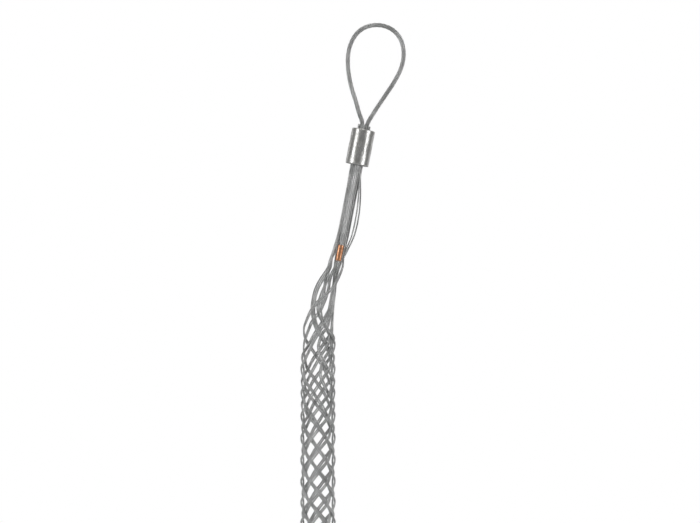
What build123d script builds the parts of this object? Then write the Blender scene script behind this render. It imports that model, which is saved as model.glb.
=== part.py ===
"""Wire-mesh cable support grip with an offset eye, in millimetres.

The gripped cable would run up the Z axis. The origin is on that axis at the tail end of the mesh,
the lead and the eye stand off to +X, and the front of the grip faces -Y. Heights are along +Z and
azimuths are counted from the front toward +X.
"""
import os
from functools import cache
from math import atan2, cos, exp, hypot, pi, radians, sin, tan

from build123d import *

# ---- wire and weave ----
WIRE_DIAMETER = 1.55
PAIR_OFFSET = 0.85  # from the middle of a two-wire band to each of its wires
UNDER_RADIUS = 13.65  # a wire's centre where it lies on a 25.4 mm cable
OVER_LIFT = 2.35  # how much further out it runs where it crosses on top
MEAN_RADIUS = 14.6  # the cylinder that the weave is laid out on
MM_PER_DEGREE = MEAN_RADIUS * pi / 180
CROSSING_MARGIN = 1.45  # a wire keeps its level this far past the last wire that it crosses
NECK_PITCH = 1.7  # at least, between the two wires of a band in the neck
CROSSING_SHARE = 0.9  # and no more than this share of the way to half-way to the next crossing
SETTLE_LENGTH = 8.0  # how far from a crossing it has come down onto the cable

# ---- rows of crossings, counted up from the tail ----
TAIL_ROW_HEIGHT = 8.5
ROW_PITCH = 9.0
ROW_STRETCH = 0.08  # the rows are this much taller, on average, up to row 26
STRETCH_ROW = 26
ROW_TURN = 30.0  # degrees that a band turns from row to row
FRONT_AZIMUTH = 4.5
TWIST, TWIST_ROW, TWIST_ROWS = 10.0, 25.3, 3.0  # the top of the weave is wrung a little

# ---- collar, where the wires leave the lead and lie down on the cable ----
SHOULDER_HEIGHT = 318.0
SHOULDER_SLOPE = 0.13
SHOULDER_AZIMUTH = 95.0
NECK_STATIONS = ((0.75, 0.15), (0.5, 0.45), (0.25, 0.80))  # (height, how far toward the collar)
STRAIGHT_STATIONS = ((0.75, 0.0), (0.5, 0.02), (0.25, 0.5))  # behind the splice sleeve

# ---- lead, a bundle of 24 wire legs below the ferrule ----
LEAD_TILT = 11.0
FERRULE_FOOT = (36.4, 0.0, 463.1)
RING_RADIUS = 4.9
CORE_RADIUS = 2.9
BOW_LENGTH = 105.0  # two slack wires stand off over this length
BOW_POWER = 1.5
HEAD_FLEX = (4.0, 28.0)  # distances below the ferrule between which the lead flexes
NECK_FLEX = (43.0, 67.0)
SEAM_GAP = 0.15
LEAD_AXIS = (sin(radians(LEAD_TILT)), 0, cos(radians(LEAD_TILT)))
LEAD_SIDE = (cos(radians(LEAD_TILT)), 0, -sin(radians(LEAD_TILT)))

# ---- ferrule and eye ----
FERRULE_DIAMETER = 21.8
FERRULE_LENGTH = 33.6
FERRULE_RING = 5.3  # radius of the ring of wires inside it
WIRE_CLEARANCE = 0.05
WIRE_END_STANDOUT = 4.7
ROPE_DIAMETER = 4.2
ROPE_OFFSET = 2.15  # each rope end, from the ferrule's axis
FERRULE_PLANE = Plane(origin=FERRULE_FOOT, x_dir=LEAD_SIDE, z_dir=(0, -1, 0))
FERRULE_BORE = FERRULE_RING + WIRE_DIAMETER / 2 + WIRE_CLEARANCE
FERRULE_EDGE = 1.2
FERRULE_MOUTH = 0.6
# the six core wires lie in the gaps between the rope ends and the ring: (radius, angle) for each
FERRULE_CORE = {
    0: (2.9, 0),
    60: (3.65, 27),
    120: (3.65, 153),
    180: (2.9, 180),
    240: (3.65, 207),
    300: (3.65, 333),
}
ROOT_FOOT = 1.0  # each rope end stops this far above the foot of the ferrule
ROOT_TOP = 5.6  # and this far above its top
EYE_GAP = 1.6  # between the fixed ends of the rope and the loop that swings over them
EYE_ROUTE = (
    (39.6, 512.5), (35.6, 522.5), (31.4, 535.0), (28.6, 548.5), (27.6, 562.0), (29.6, 575.0),
    (36.0, 587.0), (46.5, 593.6), (59.5, 594.6), (71.5, 589.5), (79.0, 579.0), (80.9, 565.5),
    (77.8, 552.5), (71.4, 540.5), (63.8, 529.2), (57.0, 519.3), (51.3, 511.5),
)

# ---- copper splice sleeve ----
SPLICE_LENGTH = 14.8
SPLICE_DIAMETER = 5.4
SPLICE_DEPTH = 3.9
SPLICE_EDGE = 0.35
SPLICE_MIDDLE = 84.0  # below the ferrule
SPLICE_STANDOFF = 7.5  # from the middle of the lead to the sleeve's
SPLICE_RUN_OUT = 2.2  # its two wires run straight this far past each end
SPLICE_CLEARANCE = 0.08
SPLICE_HALF_PITCH = 0.52 * WIRE_DIAMETER
SPLICE_BORE_WIDTH = 2 * SPLICE_HALF_PITCH + WIRE_DIAMETER + 2 * SPLICE_CLEARANCE
SPLICE_BORE_DEPTH = WIRE_DIAMETER + 2 * SPLICE_CLEARANCE

# ---- bends ----
BEND_SHARE = 0.45  # each bend takes up to this share of the shorter run beside it
LONGEST_BEND = 4.0  # and at most this length of it
BENDS_IN_A_LENGTH = 3  # a mesh wire is made in lengths of this many bends

RIGHT, LEFT = 1, -1

# Each band of two wires: the way it turns on its way down, the row in which it crosses the front,
# its first regular row, its crown and its two places in the lead. A crown is a list of
# (azimuth, height, lift), and a place is an angle on the lead's ring or core.
BANDS = {
    "back_a": (RIGHT, 24, 32, [(-238, 345, 0)], ("ring", 160, 140)),
    "turn_a": (
        RIGHT, 26, 26,
        [(96, 345, -2.0), (93, 320, 0), (86, 306, 0), (66, 299.5, 0), (38, 287.5, 0),
         (16, 277.5, 0), (8.5, 268.5, 0)],
        ("core", 180, 120),
    ),
    "turn_b": (
        RIGHT, 28, 28,
        [(68, 345, -1.0), (64, 329, 0), (55, 321.5, 0), (36, 312.5, 0), (12, 303.2, 0),
         (1.5, 293.5, 0)],
        ("core", 60, 0),
    ),
    "turn_c": (
        RIGHT, 30, 30,
        [(43, 366.5, 0), (22.5, 358, 0.6), (5.5, 350.5, 0), (-7.5, 343, 0), (-15, 333.7, 0),
         (-17, 326.2, 0), (-10, 316.8, 0)],
        ("ring", -61, -39),
    ),
    "turn_d": (
        RIGHT, 32, 29,
        [(25.1, 345, 0), (6.8, 330.5, 0), (11.5, 321.5, 0.1), (30, 313, 0), (58, 304, 0)],
        ("ring", -100, -80),
    ),
    "back_b": (RIGHT, 22, 30, [(-252, 344.5, 0), (-252, 325, 0)], ("ring", 120, 100)),
    "rim": (
        LEFT, 34, 29,
        [(85.5, 368, 3.7), (68, 358, 3.0), (52, 349, 2.2), (14, 338.5, 0), (-10, 332.5, 0),
         (-27, 325.7, 0), (-50, 318, 0), (-75, 311.5, 0), (-100, 305.5, 0), (-124, 300.5, 0)],
        ("ring", 60, 80),
    ),
    "front_a": (
        LEFT, 32, 28,
        [(42, 345.1, -0.6), (15, 328.5, 0), (-11.5, 319.9, 0), (-29, 313, 0), (-51, 303.7, 0),
         (-65, 299, 0), (-88, 293, 0)],
        ("ring", -20, 0),
    ),
    "front_b": (LEFT, 30, 31, [(54, 345, 0.5), (49, 331.5, 0)], ("ring", 20, 40)),
    "front_c": (LEFT, 28, 30, [(82, 345, -2.0), (80, 328, 0), (76, 316, 0)], ("core", 300, 240)),
    "far_a": (
        LEFT, 26, 29,
        [(145, 357, -1), (165, 344, 0), (183, 331, 0), (177.8, 322, -0.6), (159, 313, 0),
         (131, 304, 0)],
        ("ring", 220, 240),
    ),
    "far_b": (
        LEFT, 24, 30,
        [(146, 366.5, 0), (166.5, 358, 0), (183.5, 350.5, 0), (196.5, 343, 0),
         (204, 333.7, 0), (206, 326.2, 0), (199, 316.8, 0)],
        ("ring", 180, 200),
    ),
}
# bands that run on to the left below their neighbour before they turn
LATE_TURNS = ("turn_a", "turn_b")
LATE_TURN_DROP = 7.5
# each right-handed band turns back at the tail as this left-handed one
TAIL_PAIRS = (
    ("back_a", "rim"),
    ("turn_a", "front_a"),
    ("turn_b", "front_b"),
    ("turn_c", "front_c"),
    ("turn_d", "far_a"),
    ("back_b", "far_b"),
)
TAIL_BEND = 3.85  # radius of the middle of the two nested tail bends
SLACK_WIRES = {("rim", 1): 4.4, ("back_b", -1): 6.4}
SPLICED_BAND = "front_a"
BEHIND_SPLICE = "front_b"
ALL_LEGS = [(band, which) for pair in TAIL_PAIRS for which in (1, -1) for band in pair]


def row_height(row):
    return TAIL_ROW_HEIGHT + ROW_PITCH * row * (1 + ROW_STRETCH * (row / STRETCH_ROW) ** 2)


def row_at(height):
    """The row, with a fraction, at a height."""
    row = 0.0
    for _ in range(20):
        stretch = 1 + ROW_STRETCH * (row / STRETCH_ROW) ** 2
        row = (height - TAIL_ROW_HEIGHT) / (ROW_PITCH * stretch)
    return row


def row_azimuth(hand, front_row, row):
    twist = TWIST * exp(-(((row - TWIST_ROW) / TWIST_ROWS) ** 2))
    return FRONT_AZIMUTH + twist - hand * ROW_TURN * (row - front_row)


@cache
def band_line(band):
    """A band's middle line, unrolled: (distance round the cable, height) from crown to tail."""
    hand, front_row, first_row, crown, _ = BANDS[band]
    degrees_and_heights = [point[:2] for point in crown]
    for row in range(first_row, -1, -1):
        degrees_and_heights.append((row_azimuth(hand, front_row, row), row_height(row)))
    last = degrees_and_heights[-1]
    degrees_and_heights.append((last[0] + hand * ROW_TURN / 2, TAIL_ROW_HEIGHT - ROW_PITCH / 2))
    return [(azimuth * MM_PER_DEGREE, height) for azimuth, height in degrees_and_heights]


def distances(line):
    run = [0.0]
    for a, b in zip(line, line[1:]):
        run.append(run[-1] + hypot(b[0] - a[0], b[1] - a[1]))
    return run


def meeting(a, b, c, d):
    """Where the unrolled segment a-b crosses c-d, as a fraction of a-b, or None."""
    ab, cd, ac = (b[0] - a[0], b[1] - a[1]), (d[0] - c[0], d[1] - c[1]), (c[0] - a[0], c[1] - a[1])
    turn = ab[0] * cd[1] - ab[1] * cd[0]
    if abs(turn) < 1e-9:
        return None
    along = (ac[0] * cd[1] - ac[1] * cd[0]) / turn
    across = (ac[0] * ab[1] - ac[1] * ab[0]) / turn
    return along if 0 <= along < 1 and 0 <= across < 1 else None


def lean(a, b):
    """How far a segment moves round the cable for each millimetre that it goes down."""
    return (b[0] - a[0]) / (a[1] - b[1])


def runs_on_top(band, heading, other, height):
    """Right-going bands are on top in even rows, left-going ones in odd rows, the rim always."""
    if "rim" in (band, other) and height > row_height(29):
        return band == "rim"
    late = any(
        name in LATE_TURNS and going == LEFT for name, going in ((band, heading), (other, -heading))
    )
    row = round(row_at(height + LATE_TURN_DROP * late))
    return (heading == RIGHT) == (row % 2 == 0)


@cache
def crossings(band):
    """(distance along the band, is it on top, half length) where another band crosses it."""
    line = band_line(band)
    run = distances(line)
    whole_turn = 360 * MM_PER_DEGREE
    found = []
    for other in BANDS:
        if other == band:
            continue
        other_line = band_line(other)
        for start, a, b in zip(run, line, line[1:]):
            for c, d in zip(other_line, other_line[1:]):
                if min(a[1], b[1]) > max(c[1], d[1]) or max(a[1], b[1]) < min(c[1], d[1]):
                    continue
                nearest = round((a[0] - c[0]) / whole_turn)
                for turns in (nearest - 1, nearest, nearest + 1):
                    shift = turns * whole_turn
                    along = meeting(a, b, (c[0] + shift, c[1]), (d[0] + shift, d[1]))
                    if along is None:
                        continue
                    height = a[1] + along * (b[1] - a[1])
                    heading = RIGHT if lean(a, b) > lean(c, d) else LEFT
                    on_top = runs_on_top(band, heading, other, height)
                    length = hypot(b[0] - a[0], b[1] - a[1])
                    ab, cd = (b[0] - a[0], b[1] - a[1]), (d[0] - c[0], d[1] - c[1])
                    found.append((start + along * length, on_top, half_crossing(ab, cd)))
    found.sort()
    return [c for n, c in enumerate(found) if n == 0 or c[0] - found[n - 1][0] > 1]


def half_crossing(ab, cd):
    """How far a wire keeps its level to each side of the point where two bands cross."""
    turn = abs(ab[0] * cd[1] - ab[1] * cd[0])
    along = abs(ab[0] * cd[0] + ab[1] * cd[1])
    return PAIR_OFFSET / tan(atan2(turn, along) / 2) + CROSSING_MARGIN


def side_of(line, segment):
    a, b = line[segment], line[segment + 1]
    length = hypot(b[0] - a[0], b[1] - a[1])
    return ((a[1] - b[1]) / length, (b[0] - a[0]) / length)


def seat_radius(around, height):
    """The radius at which a wire lies, which grows toward the lead on the side of the collar."""
    toward_lead = max(0.0, cos(radians(around / MM_PER_DEGREE - SHOULDER_AZIMUTH)))
    return UNDER_RADIUS + SHOULDER_SLOPE * max(0.0, height - SHOULDER_HEIGHT) * toward_lead


def levels(band, run):
    """(distance along a band, lift above the cable), two for each crossing and some between."""
    met = crossings(band)
    spots = [spot for spot, _, _ in met]
    held = []
    for n, (spot, on_top, half) in enumerate(met):
        before = (spot - spots[n - 1]) / 2 if n else half
        after = (spots[n + 1] - spot) / 2 if n + 1 < len(met) else half
        lift = OVER_LIFT if on_top else 0.0
        held.append((spot - min(half, CROSSING_SHARE * before), lift))
        held.append((spot + min(half, CROSSING_SHARE * after), lift))
    between = []
    for distance in run:
        if min(abs(distance - spot) - half for spot, _, half in met) > WIRE_DIAMETER:
            nearest = min(held, key=lambda h: abs(h[0] - distance))
            settled = min(1.0, abs(nearest[0] - distance) / SETTLE_LENGTH)
            between.append((distance, nearest[1] * (1 - settled)))
    return sorted(held + between)


def band_points(band, which):
    """One wire of a band, from its crown down: (distance round the cable, height, radius)."""
    hand, _, _, crown, _ = BANDS[band]
    line = band_line(band)
    run = distances(line)
    crown_lifts = {distance: point[2] for distance, point in zip(run, crown)}
    points = []
    for distance, lift in levels(band, run):
        segment = max(n for n in range(len(line) - 1) if run[n] <= distance or n == 0)
        share = (distance - run[segment]) / (run[segment + 1] - run[segment])
        a, b = line[segment], line[segment + 1]
        around, height = a[0] + share * (b[0] - a[0]), a[1] + share * (b[1] - a[1])
        side = side_of(line, segment)
        if share == 0 and segment:
            before = side_of(line, segment - 1)
            both = (side[0] + before[0], side[1] + before[1])
            side = (both[0] / hypot(*both), both[1] / hypot(*both))
        offset = which * hand * PAIR_OFFSET
        radius = seat_radius(around, height) + lift + crown_lifts.get(distance, 0.0)
        points.append((around + offset * side[0], height + offset * side[1], radius))
    return points


def on_cable(around, height, radius):
    angle = around / MEAN_RADIUS
    return (radius * sin(angle), -radius * cos(angle), height)


def lead_point(radius, angle, below, bow=0.0):
    """A point of the lead, some way below the foot of the ferrule."""
    tilt, turn = radians(LEAD_TILT), radians(angle)
    across = radius * sin(turn) + bow
    x = FERRULE_FOOT[0] - below * sin(tilt) + across * cos(tilt)
    return (x, -radius * cos(turn), FERRULE_FOOT[2] - below * cos(tilt) - across * sin(tilt))


def leg_in_lead(band, which, below):
    kind, upper_angle, lower_angle = BANDS[band][4]
    radius = RING_RADIUS if kind == "ring" else CORE_RADIUS
    angle = upper_angle if which > 0 else lower_angle
    bow = SLACK_WIRES.get((band, which), 0.0) * max(0.0, sin(pi * below / BOW_LENGTH)) ** BOW_POWER
    return lead_point(radius, angle, below, bow)


def neck_point(band, which, height, toward_crown, around, radius):
    """(x, y) of a wire on its way from the lead to its crown point, clear of the cable."""
    seam_height = leg_in_lead(band, which, NECK_FLEX[1])[2]
    lead = leg_in_lead(band, which, NECK_FLEX[1] + (seam_height - height) / LEAD_AXIS[2])
    crown = on_cable(around, height, radius)
    x = lead[0] + toward_crown * (crown[0] - lead[0])
    y = lead[1] + toward_crown * (crown[1] - lead[1])
    clear = max(1.0, UNDER_RADIUS / hypot(x, y))
    return (x * clear, y * clear)


def neck_points(band, which, crown_point):
    """One wire from the lead's lower seam down to its first crown point."""
    around, crown_height, radius = crown_point
    seam = leg_in_lead(band, which, NECK_FLEX[1] + SEAM_GAP)
    partner_around, _, partner_radius = band_points(band, -which)[0]
    points = [seam]
    stations = STRAIGHT_STATIONS if band == BEHIND_SPLICE else NECK_STATIONS
    for share, toward_crown in stations:
        height = crown_height + share * (seam[2] - crown_height)
        own = neck_point(band, which, height, toward_crown, around, radius)
        partner = neck_point(band, -which, height, toward_crown, partner_around, partner_radius)
        gap = hypot(own[0] - partner[0], own[1] - partner[1])
        apart = max(0.0, NECK_PITCH / gap - 1) / 2
        x, y = (a + apart * (a - b) for a, b in zip(own, partner))
        points.append((x, y, height))
    if band == SPLICED_BAND:
        points[1:3] = splice_points(which)
    return points


def splice_points(which):
    """The two spliced wires run side by side through the copper sleeve."""
    reach = SPLICE_LENGTH / 2 + SPLICE_RUN_OUT
    aside = -which * SPLICE_HALF_PITCH
    ends = (SPLICE_MIDDLE - reach, SPLICE_MIDDLE + reach)
    return [lead_point(SPLICE_STANDOFF, 0, below, aside) for below in ends]


def leg_points(band, which):
    points = band_points(band, which)
    return neck_points(band, which, points[0]) + [on_cable(*point) for point in points]


def tail_bend(band, which):
    """Two points that round a wire's turn at the tail, unrolled."""
    hand, front_row = BANDS[band][:2]
    apex_around = (row_azimuth(hand, front_row, 0) + hand * ROW_TURN) * MM_PER_DEGREE
    half_angle = atan2(ROW_TURN * MM_PER_DEGREE, ROW_PITCH)
    centre_height = TAIL_ROW_HEIGHT - ROW_PITCH + TAIL_BEND / sin(half_angle)
    radius = TAIL_BEND - which * PAIR_OFFSET
    sideways = radius * tan((pi / 2 - half_angle) / 2)
    height = centre_height - radius
    seat = UNDER_RADIUS + OVER_LIFT / 2
    return [(apex_around - hand * sideways, height, seat), (apex_around + hand * sideways, height, seat)]


def wire_route(down_band, up_band, which):
    """The whole mesh wire, from one leg's seam round the tail to the other leg's seam."""
    bend = [on_cable(*point) for point in tail_bend(down_band, which)]
    return leg_points(down_band, which) + bend + leg_points(up_band, which)[::-1]


def corner_radii(points):
    """The radius of the arc at each bend, from the room that the runs beside it leave."""
    radii = []
    for a, b, c in zip(points, points[1:], points[2:]):
        before, after = Vector(*b) - Vector(*a), Vector(*c) - Vector(*b)
        turn = radians(before.get_angle(after))
        room = min(BEND_SHARE * min(before.length, after.length), LONGEST_BEND)
        radii.append(room / tan(turn / 2))
    return radii


def tube(points, radii, diameter):
    """A round bar along straight runs and tangent arcs."""
    with BuildPart() as bar:
        with BuildLine() as route:
            FilletPolyline(*points, radius=radii)
        with BuildSketch(Plane(origin=route.line @ 0, z_dir=route.line % 0)):
            Circle(diameter / 2)
        sweep()
    return bar.part


def middle(a, b):
    return tuple((u + v) / 2 for u, v in zip(a, b))


def wire_lengths(points):
    """A mesh wire as bars that meet face to face, each short enough to stay clear of the cable."""
    radii = corner_radii(points)
    lengths = []
    start = points[0]
    for first in range(1, len(points) - 1, BENDS_IN_A_LENGTH):
        last = min(first + BENDS_IN_A_LENGTH, len(points) - 1)
        end = middle(points[last - 1], points[last]) if last < len(points) - 1 else points[last]
        lengths.append(tube([start, *points[first:last], end], radii[first - 1 : last - 1], WIRE_DIAMETER))
        start = end
    return lengths


def straight_bar(start, end, diameter):
    axis = Vector(*end) - Vector(*start)
    with BuildPart() as bar:
        with BuildSketch(Plane(origin=start, z_dir=axis)):
            Circle(diameter / 2)
        extrude(amount=axis.length)
    return bar.part


# ---- lead ----
def leg_in_ferrule(band, which, below):
    kind, upper_angle, lower_angle = BANDS[band][4]
    angle = upper_angle if which > 0 else lower_angle
    if kind == "core":
        return lead_point(*FERRULE_CORE[angle], below)
    return lead_point(FERRULE_RING, angle, below)


def lead_bar(band, which):
    start = leg_in_lead(band, which, HEAD_FLEX[1] + SEAM_GAP)
    end = leg_in_lead(band, which, NECK_FLEX[0] - SEAM_GAP)
    return straight_bar(start, end, WIRE_DIAMETER)


def neck_flex_bar(band, which):
    start = leg_in_lead(band, which, NECK_FLEX[0] + SEAM_GAP)
    end = leg_in_lead(band, which, NECK_FLEX[1] - SEAM_GAP)
    return straight_bar(start, end, WIRE_DIAMETER)


def head_flex_bar(band, which):
    start = leg_in_ferrule(band, which, HEAD_FLEX[0] + SEAM_GAP)
    end = leg_in_lead(band, which, HEAD_FLEX[1] - SEAM_GAP)
    return straight_bar(start, end, WIRE_DIAMETER)


def wire_end(band, which):
    start = leg_in_ferrule(band, which, HEAD_FLEX[0] - SEAM_GAP)
    end = leg_in_ferrule(band, which, -FERRULE_LENGTH - WIRE_END_STANDOUT)
    return straight_bar(start, end, WIRE_DIAMETER)


# ---- ferrule and splice sleeve ----
def make_ferrule():
    """A swaged sleeve: a thick tube with rounded ends and a flared mouth at each end of its bore."""
    with BuildPart() as ferrule:
        with BuildSketch(FERRULE_PLANE):
            with Locations(((FERRULE_BORE + FERRULE_DIAMETER / 2) / 2, FERRULE_LENGTH / 2)):
                Rectangle(FERRULE_DIAMETER / 2 - FERRULE_BORE, FERRULE_LENGTH)
        revolve(axis=Axis(FERRULE_FOOT, LEAD_AXIS))
        rims = ferrule.edges().filter_by(GeomType.CIRCLE)
        mean_radius = (FERRULE_BORE + FERRULE_DIAMETER / 2) / 2
        outer = [edge for edge in rims if edge.radius > mean_radius]
        inner = [edge for edge in rims if edge.radius < mean_radius]
        fillet(outer, FERRULE_EDGE)
        chamfer(inner, FERRULE_MOUTH)
    return ferrule.part


def make_splice_sleeve():
    """A flat-oval copper sleeve crimped round two wires."""
    foot = lead_point(SPLICE_STANDOFF, 0, SPLICE_MIDDLE + SPLICE_LENGTH / 2)
    end_plane = Plane(origin=foot, x_dir=LEAD_SIDE, z_dir=LEAD_AXIS)
    with BuildPart() as sleeve:
        with BuildSketch(end_plane):
            SlotOverall(SPLICE_DIAMETER, SPLICE_DEPTH)
        extrude(amount=SPLICE_LENGTH)
        fillet(sleeve.edges().filter_by(end_plane), SPLICE_EDGE)
        with BuildSketch(end_plane):
            SlotOverall(SPLICE_BORE_WIDTH, SPLICE_BORE_DEPTH)
        extrude(amount=SPLICE_LENGTH, mode=Mode.SUBTRACT)
    return sleeve.part


# ---- eye ----
def make_eye_rope():
    """The loop in the plane of the lead, with a rounded end over each fixed rope end."""
    below = -FERRULE_LENGTH - ROOT_TOP - EYE_GAP - ROPE_DIAMETER / 2
    left = lead_point(ROPE_OFFSET, -90, below)
    right = lead_point(ROPE_OFFSET, 90, below)
    points = [left] + [(x, 0, z) for x, z in EYE_ROUTE] + [right]
    print(f"eye rope: smallest bend radius {min(corner_radii(points)):.1f} mm")
    with BuildPart() as rope:
        with BuildLine() as route:
            FilletPolyline(*points, radius=corner_radii(points))
        with BuildSketch(Plane(origin=route.line @ 0, z_dir=route.line % 0)):
            Circle(ROPE_DIAMETER / 2)
        sweep()
        with Locations(left, right):
            Sphere(ROPE_DIAMETER / 2)
    return rope.part


def rope_root(side):
    foot = lead_point(ROPE_OFFSET, side * 90, -ROOT_FOOT)
    top = lead_point(ROPE_OFFSET, side * 90, -FERRULE_LENGTH - ROOT_TOP)
    return straight_bar(foot, top, ROPE_DIAMETER)


# ---- write every node ----
def write(part, label):
    part.label = label
    export_step(part, f"parts/{label}.step")


def main():
    os.makedirs("parts", exist_ok=True)
    number = 0
    for down_band, up_band in TAIL_PAIRS:
        for which in (1, -1):
            number += 1
            points = wire_route(down_band, up_band, which)
            write(Compound(wire_lengths(points)), f"mesh_wire_{number:02d}")
            legs = [lead_bar(band, which) for band in (down_band, up_band)]
            write(Compound(legs), f"lead_wire_{number:02d}")
            radii = corner_radii(points)
            print(f"wire {number:02d}: smallest bend radius {min(radii):.1f} mm")
    write(Compound([neck_flex_bar(*leg) for leg in ALL_LEGS]), "neck_flex_wires")
    write(Compound([head_flex_bar(*leg) for leg in ALL_LEGS]), "head_flex_wires")
    write(Compound([wire_end(*leg) for leg in ALL_LEGS]), "wire_ends")
    write(make_ferrule(), "ferrule")
    write(make_splice_sleeve(), "splice_sleeve")
    write(make_eye_rope(), "eye_rope")
    write(Compound([rope_root(-1), rope_root(1)]), "eye_rope_roots")


main()
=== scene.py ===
"""Looks of the wire-mesh cable support grip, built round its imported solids.

Routes are laid out in millimetres, as the solids' are, and made metres as each curve is drawn.
The gripped cable would run up Z, the lead and the eye stand off to +X, and the front faces -Y.
"""

from functools import cache
from math import atan2, cos, exp, hypot, pi, radians, sin, tan

import bpy
import numpy as np
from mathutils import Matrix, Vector


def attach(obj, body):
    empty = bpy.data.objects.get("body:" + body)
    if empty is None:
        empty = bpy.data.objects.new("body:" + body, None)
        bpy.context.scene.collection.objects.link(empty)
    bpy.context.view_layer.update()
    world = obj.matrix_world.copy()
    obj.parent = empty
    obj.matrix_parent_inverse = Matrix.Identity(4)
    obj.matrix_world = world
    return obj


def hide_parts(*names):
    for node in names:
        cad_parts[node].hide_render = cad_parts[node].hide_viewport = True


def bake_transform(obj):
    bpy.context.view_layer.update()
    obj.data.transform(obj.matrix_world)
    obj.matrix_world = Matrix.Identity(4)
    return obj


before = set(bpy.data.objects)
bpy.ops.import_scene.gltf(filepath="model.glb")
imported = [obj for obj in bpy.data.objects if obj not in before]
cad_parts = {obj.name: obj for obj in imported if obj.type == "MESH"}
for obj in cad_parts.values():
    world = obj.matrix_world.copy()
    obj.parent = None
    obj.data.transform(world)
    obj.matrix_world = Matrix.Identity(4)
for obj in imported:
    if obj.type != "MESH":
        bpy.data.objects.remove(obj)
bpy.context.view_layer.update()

# ---- wire and weave ----
WIRE_DIAMETER = 1.55
PAIR_OFFSET = 0.85  # from the middle of a two-wire band to each of its wires
UNDER_RADIUS = 13.65  # a wire's centre where it lies on a 25.4 mm cable
OVER_LIFT = 2.35  # how much further out it runs where it crosses on top
MEAN_RADIUS = 14.6  # the cylinder that the weave is laid out on
MM_PER_DEGREE = MEAN_RADIUS * pi / 180
CROSSING_MARGIN = 1.45  # a wire keeps its level this far past the last wire that it crosses
NECK_PITCH = 1.7  # at least, between the two wires of a band in the neck
CROSSING_SHARE = 0.9  # and no more than this share of the way to half-way to the next crossing
SETTLE_LENGTH = 8.0  # how far from a crossing it has come down onto the cable

# ---- rows of crossings, counted up from the tail ----
TAIL_ROW_HEIGHT = 8.5
ROW_PITCH = 9.0
ROW_STRETCH = 0.08  # the rows are this much taller, on average, up to row 26
STRETCH_ROW = 26
ROW_TURN = 30.0  # degrees that a band turns from row to row
FRONT_AZIMUTH = 4.5
TWIST, TWIST_ROW, TWIST_ROWS = 10.0, 25.3, 3.0  # the top of the weave is wrung a little

# ---- collar, where the wires leave the lead and lie down on the cable ----
SHOULDER_HEIGHT = 318.0
SHOULDER_SLOPE = 0.13
SHOULDER_AZIMUTH = 95.0
NECK_STATIONS = ((0.75, 0.15), (0.5, 0.45), (0.25, 0.80))  # (height, how far toward the collar)
STRAIGHT_STATIONS = ((0.75, 0.0), (0.5, 0.02), (0.25, 0.5))  # behind the splice sleeve

# ---- lead, a bundle of 24 wire legs below the ferrule ----
LEAD_TILT = 11.0
FERRULE_FOOT = (36.4, 0.0, 463.1)
RING_RADIUS = 4.9
CORE_RADIUS = 2.9
BOW_LENGTH = 105.0  # two slack wires stand off over this length
BOW_POWER = 1.5
HEAD_FLEX = (4.0, 28.0)  # distances below the ferrule between which the lead flexes
NECK_FLEX = (43.0, 67.0)
SEAM_GAP = 0.15
LEAD_AXIS = (sin(radians(LEAD_TILT)), 0, cos(radians(LEAD_TILT)))

# ---- ferrule and eye ----
FERRULE_DIAMETER = 21.8
FERRULE_LENGTH = 33.6
FERRULE_RING = 5.3  # radius of the ring of wires inside it
WIRE_CLEARANCE = 0.05
WIRE_END_STANDOUT = 4.7
ROPE_DIAMETER = 4.2
ROPE_OFFSET = 2.15  # each rope end, from the ferrule's axis
FERRULE_BORE = FERRULE_RING + WIRE_DIAMETER / 2 + WIRE_CLEARANCE
# the six core wires lie in the gaps between the rope ends and the ring: (radius, angle) for each
FERRULE_CORE = {
    0: (2.9, 0),
    60: (3.65, 27),
    120: (3.65, 153),
    180: (2.9, 180),
    240: (3.65, 207),
    300: (3.65, 333),
}
EYE_TILT_HEIGHT = 6.5  # where the eye bends over, above the ferrule
EYE_ROUTE = (
    (38.4, 511.5), (35.6, 522.5), (31.4, 535.0), (28.6, 548.5), (27.6, 562.0), (29.6, 575.0),
    (36.0, 587.0), (46.5, 593.6), (59.5, 594.6), (71.5, 589.5), (79.0, 579.0), (80.9, 565.5),
    (77.8, 552.5), (71.4, 540.5), (63.8, 529.2), (57.0, 519.3), (51.4, 510.5),
)

# ---- copper splice sleeve ----
SPLICE_LENGTH = 14.8
SPLICE_DIAMETER = 5.4
SPLICE_DEPTH = 3.9
SPLICE_MIDDLE = 84.0  # below the ferrule
SPLICE_STANDOFF = 7.5  # from the middle of the lead to the sleeve's
SPLICE_RUN_OUT = 2.2  # its two wires run straight this far past each end
SPLICE_HALF_PITCH = 0.52 * WIRE_DIAMETER

# ---- strands ----
LEAD_MIDDLE = 35.5  # below the ferrule: a wire's woven piece meets its upper pieces here
STRAND_LAY = 10.0
ROPE_LAY = 27.0
ROPE_STRANDS = 6
STATION = 0.8  # along a strand

RIGHT, LEFT = 1, -1

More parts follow.
